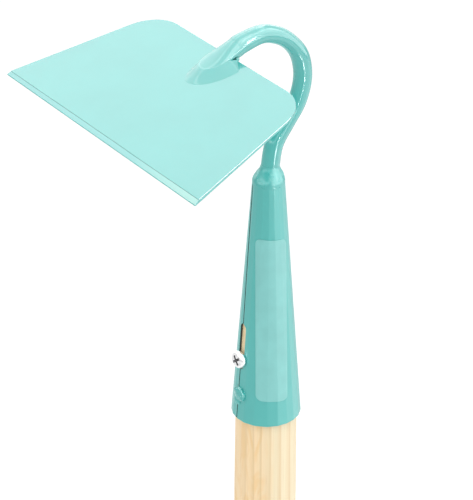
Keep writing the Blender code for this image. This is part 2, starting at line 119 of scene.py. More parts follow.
def smooth_path(points, steps):
    """Catmull-Rom curve through points of any dimension, with so many steps from each to the next."""
    ends = [[2 * a - b for a, b in zip(points[0], points[1])]]
    ends += [list(p) for p in points]
    ends += [[2 * a - b for a, b in zip(points[-1], points[-2])]]
    path = []
    for before, start, end, after in zip(ends, ends[1:], ends[2:], ends[3:]):
        for step in range(steps):
            t = step / steps
            weights = (
                -0.5 * t + t**2 - 0.5 * t**3,
                1 - 2.5 * t**2 + 1.5 * t**3,
                0.5 * t + 2 * t**2 - 1.5 * t**3,
                -0.5 * t**2 + 0.5 * t**3,
            )
            corners = zip(before, start, end, after)
            path.append([sum(w * c for w, c in zip(weights, four)) for four in corners])
    path.append(list(points[-1]))
    return path


def evenly_spaced(path, step):
    """Points about one step apart along a fine path, with its two ends kept."""
    points = [Vector(p) for p in path]
    length = sum((b - a).length for a, b in zip(points, points[1:]))
    count = round(length / step)
    spaced, done, wanted = [points[0]], 0.0, length / count
    for a, b in zip(points, points[1:]):
        run = (b - a).length
        while done + run >= wanted and len(spaced) < count:
            spaced.append(a.lerp(b, (wanted - done) / run))
            wanted += length / count
        done += run
    return spaced + [points[-1]]


def mesh_of(name, points, faces):
    mesh = bpy.data.meshes.new(name)
    mesh.from_pydata([tuple(p) for p in points], [], faces)
    shape = bmesh.new()
    shape.from_mesh(mesh)
    bmesh.ops.recalc_face_normals(shape, faces=shape.faces)
    shape.to_mesh(mesh)
    shape.free()
    return mesh


def add_object(name, mesh, sharp_from=35):
    item = bpy.data.objects.new(name, mesh)
    bpy.context.scene.collection.objects.link(item)
    mesh.shade_smooth()
    mesh.set_sharp_from_angle(angle=radians(sharp_from))
    return item


def loft(name, rings, sharp_from=35):
    """A closed skin over rings of equally many points, with a face on each end."""
    count = len(rings[0])
    points = [p for ring in rings for p in ring]
    faces = []
    for level in range(len(rings) - 1):
        low, high = level * count, (level + 1) * count
        for i in range(count):
            j = (i + 1) % count
            faces.append((low + i, low + j, high + j, high + i))
    faces.append(tuple(range(count)))
    faces.append(tuple(range(len(points) - count, len(points))))
    return add_object(name, mesh_of(name, points, faces), sharp_from)


def circle(radius, z, segments):
    turns = (2 * pi * i / segments for i in range(segments))
    return [Vector((radius * cos(a), radius * sin(a), z)) for a in turns]


def turned(name, profile, segments=96, sharp_from=35):
    """A solid turned about Z from (radius, z) pairs that run from one end of the axis to the other."""
    return loft(name, [circle(radius, z, segments) for radius, z in profile], sharp_from)


def join(name, items):
    """One object that holds the meshes of several."""
    shape = bmesh.new()
    for item in items:
        shape.from_mesh(item.data)
        bpy.data.objects.remove(item, do_unlink=True)
    mesh = bpy.data.meshes.new(name)
    shape.to_mesh(mesh)
    shape.free()
    return add_object(name, mesh, 60)


def cut(target, tool):
    """Takes the tool out of the target for good, and throws the tool away."""
    boolean = target.modifiers.new("cut", "BOOLEAN")
    boolean.operation = "DIFFERENCE"
    boolean.solver = "EXACT"
    boolean.object = tool
    apply_modifiers(target)
    bpy.data.objects.remove(tool, do_unlink=True)


def apply_modifiers(item):
    bpy.context.view_layer.update()
    seen = item.evaluated_get(bpy.context.evaluated_depsgraph_get())
    mesh = bpy.data.meshes.new_from_object(seen)
    item.modifiers.clear()
    item.data = mesh


def soften(item, width, angle=30, segments=3):
    """Rounds every edge that is sharper than the angle."""
    bevel = item.modifiers.new("rounded_edges", "BEVEL")
    bevel.width = width
    bevel.segments = segments
    bevel.limit_method = "ANGLE"
    bevel.angle_limit = radians(angle)
    bevel.harden_normals = True


def ripple(place, size, seed=0.0):
    """Smooth noise from -1 to 1, with bumps of about the given size."""
    return noise.noise(Vector(place) / size + Vector((seed, 7.3 * seed, -3.1 * seed)))


def socket_radius(height):
    """Outer radius of the socket at a height above its rim."""
    fall = (SOCKET_RIM_RADIUS - SOCKET_TOP_RADIUS) / SOCKET_LENGTH
    return SOCKET_RIM_RADIUS - fall * height


def socket_lean():
    return atan2(SOCKET_RIM_RADIUS - SOCKET_TOP_RADIUS, SOCKET_LENGTH)


def seam_azimuth(height):
    """Where the seam stands round the socket: it wanders off to the left towards the narrow end."""
    return SEAM_AZIMUTH_AT_RIM + SEAM_TWIST * max(height / SOCKET_LENGTH, 0) ** 2


def on_socket(azimuth, height):
    """Axes on the socket's surface at a height above its rim: -Y out of the socket, Z up."""
    turn = Matrix.Rotation(azimuth, 4, "Z")
    return turn @ Matrix.Translation((0, -socket_radius(height), RIM_Z + height))


def on_blade(reach, lift):
    """(y, z) of a point so far forward of the back edge, and so far above the blade's top face."""
    y = BLADE_BACK_Y - reach * cos(BLADE_TILT) - lift * sin(BLADE_TILT)
    z = BLADE_TOP_Z - reach * sin(BLADE_TILT) + lift * cos(BLADE_TILT)
    return y, z


def blade_matrix():
    """Blade axes: X across, Y back from the cutting edge, Z out of the top face."""
    place = Matrix.Translation((0, BLADE_BACK_Y, BLADE_TOP_Z))
    return place @ Matrix.Rotation(BLADE_TILT, 4, "X")


def hole_matrix():
    """Hole axes: X along the cross hole, Y level and away from it, Z up."""
    return Matrix.Translation((0, 0, HOLE_Z)) @ Matrix.Rotation(HOLE_AZIMUTH - pi / 2, 4, "Z")


# ---------------------------------------------------------------- materials

class Shader:
    """A material under construction: one Principled shader and the nodes that feed it."""

    def __init__(self, name, colour, roughness, metallic=0.0, ior=1.5):
        self.material = bpy.data.materials.new(name)
        self.material.use_nodes = True
        self.tree = self.material.node_tree
        self.surface = self.tree.nodes["Principled BSDF"]
        self.set("Base Color", (*colour, 1.0))
        self.set("Roughness", roughness)
        self.set("Metallic", metallic)
        self.set("IOR", ior)
        self.place = self.node("ShaderNodeTexCoord").outputs["Object"]

    def set(self, socket, value):
        self.surface.inputs[socket].default_value = value

    def node(self, kind, **values):
        made = self.tree.nodes.new(kind)
        for name, value in values.items():
            setattr(made, name, value)
        return made

    def link(self, output, target):
        self.tree.links.new(output, target)

    def stretched(self, scale):
        """The object's own coordinates, scaled by axis."""
        mapping = self.node("ShaderNodeMapping")
        mapping.inputs["Scale"].default_value = scale
        self.link(self.place, mapping.inputs["Vector"])
        return mapping.outputs["Vector"]

    def noise(self, scale, detail=2.0, vector=None, distortion=0.0):
        made = self.node("ShaderNodeTexNoise")
        made.inputs["Scale"].default_value = scale
        made.inputs["Detail"].default_value = detail
        made.inputs["Distortion"].default_value = distortion
        self.link(vector or self.place, made.inputs["Vector"])
        return made.outputs["Fac"]

    def ramp(self, value, low, high, from_low=0.3, from_high=0.7):
        """The value's range from_low to from_high, spread over low to high."""
        made = self.node("ShaderNodeMapRange")
        numbers = (from_low, from_high, low, high)
        for name, number in zip(("From Min", "From Max", "To Min", "To Max"), numbers):
            made.inputs[name].default_value = number
        self.link(value, made.inputs["Value"])
        return made.outputs["Result"]

    def mix(self, value, first, second, blend="MIX"):
        """A colour between two, each an output or red, green and blue."""
        made = self.node("ShaderNodeMix", data_type="RGBA", blend_type=blend)
        self.link(value, made.inputs["Factor"])
        for socket, colour in ((made.inputs[6], first), (made.inputs[7], second)):
            if isinstance(colour, tuple):
                socket.default_value = (*colour, 1.0)
            else:
                self.link(colour, socket)
        return made.outputs[2]

    def math(self, operation, first, second=0.0):
        made = self.node("ShaderNodeMath", operation=operation)
        for socket, value in zip(made.inputs, (first, second)):
            if isinstance(value, (int, float)):
                socket.default_value = value
            else:
                self.link(value, socket)
        return made.outputs["Value"]

    def colour(self, output):
        self.link(output, self.surface.inputs["Base Color"])

    def mottle(self, value, first, second):
        """Colours the surface between two colours by a noise value."""
        self.colour(self.mix(self.ramp(value, 0, 1), first, second))

    def roughness(self, output):
        self.link(output, self.surface.inputs["Roughness"])

    def bump(self, height, depth, strength=1.0):
        made = self.node("ShaderNodeBump")
        made.inputs["Distance"].default_value = depth
        made.inputs["Strength"].default_value = strength
        self.link(height, made.inputs["Height"])
        self.link(made.outputs["Normal"], self.surface.inputs["Normal"])


def shade(colour, factor):
    return tuple(min(1.0, channel * factor) for channel in colour)


def paint_material(name, colour, roughness):
    """Gloss powder coat: faint clouds of tone, and the fine waviness that such a coat dries with."""
    shader = Shader(name, colour, roughness, ior=1.6)
    clouds = shader.noise(45.0, 3.0)
    shader.mottle(clouds, shade(colour, 0.97), shade(colour, 1.03))
    fine = shader.noise(260.0, 1.0)
    shader.roughness(shader.ramp(fine, roughness - 0.02, roughness + 0.03))
    shader.bump(shader.noise(300.0, 1.0), 0.000012)
    return shader.material


def ground_edge_material(colour, worn_and_lit):
    """The coat over the ground bevel, worn thin, and painted lighter than the top as a highlight, paler still
    towards the right-hand corner.
    """
    shader = Shader("ground_edge_paint", colour, 0.14, ior=1.6)
    split = shader.node("ShaderNodeSeparateXYZ")
    shader.link(shader.place, split.inputs["Vector"])
    patches = shader.math("MULTIPLY", shader.noise(90.0, 3.0), 0.02)
    along = shader.math("ADD", split.outputs["X"], patches)
    # painted highlight: the coat gets paler along X towards the right-hand corner
    shader.colour(shader.mix(shader.ramp(along, 0, 1, 0.035, 0.075), colour, worn_and_lit))
    shader.roughness(shader.ramp(shader.noise(400.0, 2.0), 0.10, 0.22))
    shader.bump(shader.noise(1.0, 2.0, shader.stretched((60, 900, 900))), 0.000015)
    return shader.material


def zinc_material():
    """Bright zinc plate with fine turning marks."""
    shader = Shader("zinc_plate", (0.78, 0.79, 0.80), 0.22, metallic=1.0)
    clouds = shader.noise(900.0, 3.0)
    shader.mottle(clouds, (0.62, 0.63, 0.65), (0.92, 0.92, 0.92))
    shader.roughness(shader.ramp(shader.noise(1600.0, 2.0), 0.16, 0.34))
    shader.bump(shader.noise(2600.0, 2.0), 0.00002)
    return shader.material


def recess_shade_material():
    """Zinc plate deep in the cross recess, painted dark as the shade there."""
    shader = Shader("recess_painted_shade", (0.12, 0.12, 0.125), 0.6, metallic=0.3)
    recess_mottle = shader.noise(1500.0, 3.0)
    shader.mottle(recess_mottle, (0.05, 0.05, 0.055), (0.20, 0.20, 0.21))
    shader.roughness(shader.ramp(recess_mottle, 0.5, 0.75))
    return shader.material


def gap_shade_material():
    """The sheet's cut edge in the slot and along the seam, painted near black as the shade in the gap."""
    shader = Shader("cut_edge_painted_shade", (0.02, 0.03, 0.03), 0.5)
    # the noise only mottles the painted shade
    scale = shader.noise(700.0, 3.0)
    shader.mottle(scale, (0.010, 0.014, 0.014), (0.035, 0.055, 0.052))
    shader.roughness(shader.ramp(scale, 0.4, 0.65))
    shader.bump(scale, 0.00003)
    return shader.material


def pine_material():
    """Turned pine: swirled figure, long growth-ring lines, fine fibres and short dark resin flecks, and
    painted light that brightens the wood inside the socket.
    """
    shader = Shader("pine", (0.86, 0.68, 0.43), 0.52, ior=1.45)
    wander = shader.noise(1.0, 3.0, shader.stretched((22, 22, 2.1)))
    split = shader.node("ShaderNodeSeparateXYZ")
    shader.link(shader.place, split.inputs["Vector"])
    lean = shader.math("MULTIPLY", split.outputs["Z"], 0.013)
    heart = shader.node("ShaderNodeCombineXYZ")
    shader.link(shader.math("ADD", split.outputs["X"], lean), heart.inputs["X"])
    shader.link(shader.math("ADD", split.outputs["Y"], 0.043), heart.inputs["Y"])
    length = shader.node("ShaderNodeVectorMath", operation="LENGTH")
    shader.link(heart.outputs["Vector"], length.inputs[0])
    rings = shader.math("ADD", length.outputs["Value"], shader.math("MULTIPLY", wander, 0.016))
    turn = shader.math("FRACT", shader.math("MULTIPLY", rings, 230.0))
    late = shader.math("MULTIPLY", shader.math("POWER", turn, 3.0), shader.ramp(turn, 1.0, 0.0, 0.9, 1.0))
    aside = shader.math("MULTIPLY", split.outputs["X"], 17.0)
    across = shader.math("ADD", aside, shader.math("MULTIPLY", split.outputs["Y"], 24.0))
    broad = shader.noise(1.0, 2.0, shader.stretched((70, 70, 2.0)))
    sapwood = shader.math("ADD", shader.math("MULTIPLY", broad, 0.5), across)
    base = shader.mix(shader.ramp(sapwood, 0, 1, 0.14, 0.42), (0.955, 0.73, 0.45), (0.87, 0.765, 0.53))
    swirl = shader.noise(1.0, 2.0, shader.stretched((170, 170, 50)), distortion=1.2)
    heartwood = shader.ramp(sapwood, 0.8, 0, 0.16, 0.42)
    figure = shader.math("MULTIPLY", shader.ramp(swirl, 0, 1, 0.44, 0.58), heartwood)
    base = shader.mix(figure, base, (0.91, 0.63, 0.31))
    # painted light: the wood inside the socket, seen in the slot, is painted brighter and warmer to lift the
    # shade there
    painted_light_in_socket = shader.ramp(split.outputs["Z"], 0, 1, RIM_Z, RIM_Z + 10 * MM)
    base = shader.mix(painted_light_in_socket, base, (1.0, 0.80, 0.50))
    faint = shader.math("MULTIPLY", late, shader.ramp(broad, 0.40, 0.95))
    ringed = shader.mix(faint, base, (0.74, 0.53, 0.27))
    fibre = shader.noise(1.0, 4.0, shader.stretched((1500, 1500, 14)))
    fibrous = shader.mix(shader.ramp(fibre, 0.0, 0.30), ringed, (0.70, 0.50, 0.29))
    fleck = shader.noise(1.0, 1.0, shader.stretched((2200, 2200, 75)))
    flecked = shader.mix(shader.ramp(fleck, 0.0, 0.28, 0.72, 0.80), fibrous, (0.52, 0.30, 0.13))
    shader.colour(flecked)
    shader.roughness(shader.ramp(fibre, 0.46, 0.62))
    shader.bump(shader.math("ADD", fibre, late), 0.00006)
    return shader.material


def dip_material():
    """Dipped soft plastic, satin, with the slight pebble of a poured skin."""
    pink = (0.70, 0.052, 0.195)
    shader = Shader("pink_dip", pink, 0.34, ior=1.5)
    clouds = shader.noise(30.0, 3.0)
    shader.mottle(clouds, shade(pink, 0.93), shade(pink, 1.06))
    shader.roughness(shader.ramp(shader.noise(180.0, 2.0), 0.28, 0.42))
    shader.bump(shader.noise(700.0, 2.0), 0.00008)
    return shader.material


def film_material():
    """Satin film a shade paler than the paint it is stuck on."""
    pale = (0.22, 0.57, 0.545)
    shader = Shader("label_film", pale, 0.38, ior=1.45)
    clouds = shader.noise(120.0, 2.0)
    shader.mottle(clouds, shade(pale, 0.96), shade(pale, 1.04))
    shader.roughness(shader.ramp(shader.noise(500.0, 2.0), 0.32, 0.44))
    shader.bump(shader.noise(900.0, 2.0), 0.00001)
    return shader.material


def cord_material():
    """Waxed braided cord: dark fibres that run round with the strands."""
    shader = Shader("waxed_cord", (0.12, 0.10, 0.10), 0.62, ior=1.45)
    fibre = shader.noise(2600.0, 3.0, distortion=0.6)
    shader.mottle(fibre, (0.065, 0.052, 0.055), (0.20, 0.17, 0.165))
    shader.roughness(shader.ramp(fibre, 0.5, 0.8))
    shader.bump(fibre, 0.00012)
    shader.set("Sheen Weight", 0.25)
    return shader.material


# ---------------------------------------------------------------- camera and studio

def camera_axes():
    """(right, up, back) of the main camera."""
    a, e = CAMERA_AZIMUTH, CAMERA_ELEVATION
    back = Vector((sin(a) * cos(e), -cos(a) * cos(e), sin(e)))
    level = Vector((cos(a), sin(a), 0))
    upright = back.cross(level)
    right = level * cos(CAMERA_ROLL) + upright * sin(CAMERA_ROLL)
    up = upright * cos(CAMERA_ROLL) - level * sin(CAMERA_ROLL)
    return right, up, back


def make_camera():
    right, up, back = camera_axes()
    rim = Vector((0, 0, RIM_Z))
    camera = bpy.data.objects.new("camera", bpy.data.cameras.new("camera"))
    bpy.context.scene.collection.objects.link(camera)
    place = Matrix((right, up, back)).transposed().to_4x4()
    place.translation = rim + right * CAMERA_ASIDE + up * CAMERA_ABOVE + back * CAMERA_DISTANCE
    camera.matrix_world = place
    camera.data.sensor_width = 36
    camera.data.lens = CAMERA_LENS
    camera.data.clip_end = 60
    bpy.context.scene.camera = camera


def softbox(name, azimuth, elevation, distance, size, radiance, only=None, roll=0.0, around=HEAD_CENTRE):
    """An area light that faces a point from a direction in degrees, and shows that radiance.

    The point, around, is measured from the middle of the socket's rim. With only="gloss" the light is
    a card that is seen in reflections and lights nothing else.
    """
    a, e = radians(azimuth), radians(elevation)
    back = Vector((sin(a) * cos(e), -cos(a) * cos(e), sin(e)))
    light = bpy.data.lights.new(name, "AREA")
    light.shape = "RECTANGLE"
    light.size, light.size_y = size
    light.energy = radiance * pi * size[0] * size[1]
    item = bpy.data.objects.new(name, light)
    bpy.context.scene.collection.objects.link(item)
    item.location = Vector((0, 0, RIM_Z)) + Vector(around) + back * distance
    upright = back.to_track_quat("Z", "Y").to_matrix()
    item.rotation_euler = (upright @ Matrix.Rotation(radians(roll), 3, "Z")).to_euler()
    item.visible_camera = False
    item.visible_diffuse = only != "gloss"
    return item


def make_studio():
    """A white world, a key light, cards that only reflections show, and a wide floor that glows a little."""
    world = bpy.data.worlds.new("studio")
    bpy.context.scene.world = world
    world.use_nodes = True
    background = world.node_tree.nodes["Background"]
    background.inputs["Color"].default_value = (1.0, 1.0, 1.0, 1.0)
    background.inputs["Strength"].default_value = WORLD_STRENGTH
    softbox("key", 90, 65, 2.2, (1.5, 1.5), 3.0)
    softbox("overhead_card", 0, 90, 2.0, (2.6, 3.2), 3.2, "gloss")
    softbox("left_card", -95, 42, 2.2, (3.4, 1.6), 3.35, "gloss")
    softbox("left_low_card", -105, 12, 2.2, (3.4, 0.9), 2.0, "gloss")
    softbox("back_card", 130, 22, 2.2, (4.0, 3.1), 3.9, "gloss")
    softbox("back_sky_card", 142, 44, 2.0, (2.8, 1.5), 1.2, "gloss")
    softbox("far_card", -162, 26, 2.2, (2.2, 2.4), 1.6, "gloss")
    softbox("low_card", 130, -33, 2.0, (3.4, 1.1), 1.4, "gloss")
    bend, root = (0.004, 0.018, 0.168), (0.004, 0.002, 0.140)  # of the neck
    softbox("neck_card", 78, -19, 0.15, (0.004, 0.1), 48.0, "gloss", roll=20, around=bend)
    softbox("root_card", 90, -19, 0.15, (0.06, 0.005), 10.0, "gloss", roll=-20, around=root)
    softbox("arch_strip", 119, 10, 1.6, (0.03, 1.1), 34.0, "gloss")
    softbox("front_card", 12, 34, 2.2, (3.8, 1.8), 3.1, "gloss")
    softbox("glint_card", 25, 48, 2.0, (0.35, 0.35), 16.0, "gloss")
    floor_sides = 96
    floor_mesh = mesh_of("floor", circle(FLOOR_RADIUS, 0, floor_sides), [tuple(range(floor_sides))])
    floor = bpy.data.objects.new("floor", floor_mesh)
    bpy.context.scene.collection.objects.link(floor)
    floor.location.z = BUTT_Z - FLOOR_BELOW_BUTT
    shader = Shader("studio_floor", (0.92, 0.92, 0.92), 0.6)
    shader.set("Emission Color", (1.0, 1.0, 1.0, 1.0))
    shader.set("Emission Strength", FLOOR_GLOW)
    floor_mesh.materials.append(shader.material)
    view = bpy.context.scene.view_settings
    view.view_transform = "Standard"
    view.look = "None"


# ---------------------------------------------------------------- hang loop

def cord_route():
    """The cord's own points in the hole's axes, from the knot through the hole and round the loop."""
    gap = 0.3 * MM
    knot_near, knot_far = KNOT_CENTRE + KNOT_LENGTH / 2 + gap, KNOT_CENTRE - KNOT_LENGTH / 2 - gap
    loop = [
        (-9.0, 0.0, 0.0),
        (0.0, 0.0, 0.0),
        (9.0, 0.0, 0.0),
        (17.5, 0.2, -0.1),
        (27.0, 2.2, -0.8),
        (36.5, 8.2, -2.4),
        (43.0, 17.2, -4.6),
        (44.0, 27.5, -6.6),
        (38.5, 37.0, -8.2),
        (28.0, 43.6, -9.2),
        (14.0, 46.8, -9.6),
        (-1.0, 46.4, -9.4),
        (-15.0, 42.4, -8.6),
        (-26.5, 34.6, -7.2),
        (-33.4, 23.8, -5.2),
        (-34.8, 12.6, -2.9),
        (-31.2, 4.2, -1.0),
    ]
    points = [(knot_near, 0.0, 0.0)]
    points += [(along * MM, away * MM, up * MM) for along, away, up in loop]
    return points + [(knot_far - 1.5 * MM, 0.2 * MM, 0.0), (knot_far, 0.0, 0.0)]


def twisted_tube(name, path, radius, strands, pitch, around=8, fullness=0.5):
    """A laid cord along a path: round strands, each turning once about the middle in every pitch."""
    centre_radius, strand_radius = radius * fullness, radius * (1 - fullness)
    side = (path[1] - path[0]).orthogonal().normalized()
    frames, run = [], 0.0
    for i, point in enumerate(path):
        ahead = (path[min(i + 1, len(path) - 1)] - path[max(i - 1, 0)]).normalized()
        side = (side - ahead * side.dot(ahead)).normalized()
        frames.append((point, ahead, side, ahead.cross(side), run))
        if i + 1 < len(path):
            run += (path[i + 1] - point).length
    points, faces = [], []
    for strand in range(strands):
        base = len(points)
        for point, ahead, across, up, run in frames:
            turn = 2 * pi * (run / pitch + strand / strands)
            middle = point + (across * cos(turn) + up * sin(turn)) * centre_radius
            for k in range(around):
                angle = 2 * pi * k / around
                points.append(middle + (across * cos(angle) + up * sin(angle)) * strand_radius)
        for i in range(len(frames) - 1):
            for k in range(around):
                low, high = base + i * around, base + (i + 1) * around
                j = (k + 1) % around
                faces.append((low + k, low + j, high + j, high + k))
        faces.append(tuple(base + k for k in range(around)))
        last = base + (len(frames) - 1) * around
        faces.append(tuple(last + k for k in range(around)))
    return add_object(name, mesh_of(name, points, faces), 60)


def make_cord(material):
    place = hole_matrix()
    cad_path = evenly_spaced(smooth_path(cord_route(), 12), CORD_STEP)
    path = [place @ p for p in evenly_spaced(smooth_path(cad_path, 8), 0.5 * MM)]
    cord = twisted_tube("laid_cord", path, CORD_RADIUS, CORD_STRANDS, CORD_LAY)
    cord.data.materials.append(material)
    return cord, path


def make_knot(material):
    """An overhand knot in the doubled cord: its turns wrap the hole's axis, and two cut ends stick out."""
    turns, steps, crossing_steps = 2.6, 110, 40
    reach = 1.95 * MM
    path = []
    for i in range(steps + 1):
        share = i / steps
        angle = 2 * pi * turns * share
        along = KNOT_CENTRE + KNOT_LENGTH * (0.46 - 0.92 * share)
        path.append(Vector((along, reach * cos(angle), reach * sin(angle))))
    crossing = []
    for i in range(crossing_steps + 1):
        share = i / crossing_steps
        angle = radians(-70 + 320 * share)
        along = KNOT_CENTRE + KNOT_LENGTH * (-0.30 + 0.62 * share)
        reach = (2.0 + 0.9 * sin(pi * share)) * MM
        crossing.append(Vector((along, reach * cos(angle), reach * sin(angle))))
    tails = []
    for side, droop in ((1, 0.6), (-1, 1.4)):
        points = [
            (KNOT_CENTRE - 1.0 * MM, 1.6 * MM * side, -1.0 * MM),
            (KNOT_CENTRE - 3.0 * MM, 2.8 * MM * side, -2.2 * MM),
            (KNOT_CENTRE - 5.5 * MM, 3.6 * MM * side, -(3.2 + droop) * MM),
            (KNOT_CENTRE - 8.0 * MM, 3.8 * MM * side, -(4.6 + droop) * MM),
        ]
        tails.append([Vector(p) for p in smooth_path(points, 8)])
    parts = [twisted_tube("turns", path, CORD_RADIUS, CORD_STRANDS, CORD_LAY)]
    parts.append(twisted_tube("crossing", crossing, CORD_RADIUS, CORD_STRANDS, CORD_LAY))
    worn_radius = 0.92 * CORD_RADIUS
    parts += [twisted_tube("tail", tail, worn_radius, CORD_STRANDS, CORD_LAY) for tail in tails]
    knot = join("overhand_knot", parts)
    knot.data.transform(hole_matrix())
    knot.data.materials.append(material)
    return knot


def make_hang_loop():
    material = cord_material()
    cord, path = make_cord(material)
    knot = make_knot(material)
    for item, node in ((cord, "hang_cord"), (knot, "cord_knot")):
        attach(item, "hang_loop")
        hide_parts(node)


# ---------------------------------------------------------------- head

def dress(item, node, material, body="hoe"):
    """Gives a finished piece its material, and lets it stand for a CAD node on its body."""
    if material:
        item.data.materials.clear()
        item.data.materials.append(material)
    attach(item, body)
    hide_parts(node)
    return item


def blade_outline():
    """Points round the plate in blade axes, from the right front corner to the left one."""
    half_front, half_back = BLADE_FRONT / 2, BLADE_BACK / 2
    lean = atan2(half_front - half_back, BLADE_DEPTH)
    corner_x = half_back - BLADE_CORNER * (1 - sin(lean)) / cos(lean)
    right = [(half_front, -BLADE_DEPTH)]
    for i in range(25):
        turn = lean + (pi / 2 - lean) * i / 24
        right.append((corner_x + BLADE_CORNER * cos(turn), BLADE_CORNER * (sin(turn) - 1)))
    return right + [(-x, y) for x, y in reversed(right)]


def make_blade(paint, ground_paint, crease_shade_paint, edge_highlight_paint):
    """The plate: a hand-ground bevel that waves a little with painted shade along its crease, and rounded
    edges, the right one painted pale as a highlight line.
    """
    outline = blade_outline()
    low, high = -BLADE_THICKNESS, 0.0
    side = Vector((BLADE_BACK - BLADE_FRONT, 2 * BLADE_DEPTH)).normalized()
    right = Vector(outline[0]) + side * GRIND_RIGHT
    left = Vector(outline[-1]) + Vector((-side.x, side.y)) * GRIND_LEFT
    waviness, shear = 0.16 * MM, 0.45 * MM  # of the crease, and of the underside at each end
    step_run, step_drop = 0.26 * MM, 0.17 * MM
    crease, step, foot = [], [], []
    steps = 40
    for i in range(steps + 1):
        share = i / steps
        point = right.lerp(left, share)
        wave = waviness * ripple((point.x, 0, 0), 14 * MM, 1.7) * sin(pi * share) ** 0.3
        crease.append((point.x, point.y + wave))
        step.append((point.x, point.y + wave - step_run))
        foot.append((BLADE_FRONT / 2 * (1 - 2 * share), -BLADE_DEPTH))
    edge = low + BLADE_EDGE_THICKNESS
    shape = bmesh.new()

    def row(points, z):
        return [shape.verts.new((x, y, z)) for x, y in points]

    crease_row, step_row, foot_row = row(crease, high), row(step, high - step_drop), row(foot, edge)
    bottom_front = row(foot, low)
    sheared = [(x * (1 - shear / abs(x)), y) for x, y in outline[1:-1]]
    top_rest, bottom_rest = row(outline[1:-1], high), row(sheared, low)
    shape.faces.new(top_rest + list(reversed(crease_row)))
    shape.faces.new(list(reversed(bottom_rest)) + bottom_front)
    rows = (crease_row, step_row, foot_row, bottom_front)
    for upper, lower in zip(rows, rows[1:]):
        for i in range(steps):
            shape.faces.new((upper[i], upper[i + 1], lower[i + 1], lower[i]))
    for i in range(len(top_rest) - 1):
        shape.faces.new((top_rest[i], bottom_rest[i], bottom_rest[i + 1], top_rest[i + 1]))
    for end, rest in ((0, 0), (-1, -1)):
        shape.faces.new([row[end] for row in rows] + [bottom_rest[rest], top_rest[rest]])
    bmesh.ops.recalc_face_normals(shape, faces=shape.faces)
    mesh = bpy.data.meshes.new("blade_plate")
    shape.to_mesh(mesh)
    shape.free()
    blade = add_object("blade_plate", mesh, 7)
    for material in (paint, ground_paint, crease_shade_paint, edge_highlight_paint):
        mesh.materials.append(material)
    for face in mesh.polygons:
        leaned = face.normal.angle(Vector((0, 0, 1)))
        if radians(4) < leaned < radians(28):
            face.material_index = GROUND_SLOT
        # painted shade: the steep step faces of the crease take the dark crease paint
        elif radians(28) < leaned < radians(45):
            face.material_index = CREASE_SHADE_SLOT
    soften(blade, 0.7 * MM, 50)
    apply_modifiers(blade)
    # painted highlight: the rounded right-hand edge takes a pale paint that draws its bright line
    for face in blade.data.polygons:
        rounded = radians(12) < face.normal.angle(Vector((0, 0, 1))) < radians(80)
        straight = -BLADE_DEPTH + GRIND_RIGHT < face.center.y < -0.55 * BLADE_CORNER
        if rounded and straight and face.center.x > BLADE_BACK / 2 - BLADE_CORNER:
            face.material_index = EDGE_HIGHLIGHT_SLOT
    blade.data.transform(blade_matrix())
    return dress(blade, "blade", None)


def neck_stations():
    """(y, z, half width, height above, depth below, squareness) along the bar, from the socket to the toe."""
    along = [  # y and height above the rim in mm, and the radius, from 0 for the bar's to 1 for its root's
        (0.0, 108, 1.0),
        (0.3, 120, 1.0),
        (0.9, 131, 1.0),
        (3.1, 141.5, 0.8),
        (9.3, 150.5, 0.6),
        (15.3, 159.2, 0.7),
        (18.1, 170, 0.9),
        (16.5, 180.7, 0.8),
        (11.1, 188.8, -0.8),
        (3.6, 194.4, -0.2),
        (-5.2, 197.0, 0.6),
    ]
    stations = []
    for y, z, rooted in along:
        radius = NECK_RADIUS + rooted * (NECK_ROOT_RADIUS - NECK_RADIUS)
        stations.append((y * MM, RIM_Z + z * MM, radius, radius, radius, 2.0))
    tongue = (  # reach past the back edge, the middle's lift off the blade, and the three sizes, in mm
        (-7.0, 3.4, 4.7, 4.45, 4.7, 2.0),
        (-3.2, 3.1, 5.0, 4.0, 4.65, 2.0),
        (-1.3, 2.98, 5.2, 3.7, 4.45, 2.0),
        (0.3, 2.86, 5.35, 3.4, 2.5, 2.05),
        (4.5, 2.5, 6.0, 2.6, 2.2, 2.15),
        (8.5, 2.15, 6.4, 2.0, 1.85, 2.3),
        (12.0, 1.9, 6.0, 1.6, 1.6, 2.4),
        (14.6, 1.7, 4.6, 1.4, 1.4, 2.4),
    )
    for reach, lift, *sizes, squareness in tongue:
        place = on_blade(reach * MM, lift * MM)
        stations.append((*place, *(size * MM for size in sizes), squareness))
    stations.append((*on_blade(TONGUE_REACH, 1.6 * MM), 2.0 * MM, 1.2 * MM, 1.2 * MM, 2.4))
    return stations


def make_neck(paint):
    """The forged bar, smooth and round, drawn out flat into the tongue."""
    segments = 56
    path = smooth_path(neck_stations(), 10)
    rings = []
    for i, (y, z, half_width, above, below, squareness) in enumerate(path):
        before, after = path[max(i - 1, 0)], path[min(i + 1, len(path) - 1)]
        line = Vector((0, after[0] - before[0], after[1] - before[1])).normalized()
        down = Vector((1, 0, 0)).cross(line)
        ring = []
        for k in range(segments):
            turn = 2 * pi * k / segments
            c, s = cos(turn), sin(turn)
            across = half_width * abs(c) ** (2 / squareness) * (1 if c > 0 else -1)
            drop = (below if s > 0 else -above) * abs(s) ** (2 / squareness)
            point = Vector((across, y, z)) + down * drop
            ring.append(point + (point - Vector((0, y, z))) * 0.005 * ripple(point, 12 * MM, 2.0))
        rings.append(ring)
    return dress(loft("gooseneck", rings, 60), "neck", paint)


def make_root_run():
    """A short run of weld across the blade's back edge, which closes the corner under the bar."""
    rings = []
    for x, fullness in ((-4.9, 0.3), (-4.5, 0.75), (-3.6, 1), (0, 1), (3.6, 1), (4.5, 0.75), (4.9, 0.3)):
        ring = []
        for k in range(12):
            turn = radians(30 * k)
            y, z = 0.5 + 1.3 * fullness * cos(turn), -0.1 + 1.5 * fullness * sin(turn)
            ring.append(Vector((x * MM, y * MM, z * MM)))
        rings.append(ring)
    return loft("root_run", rings, 50)


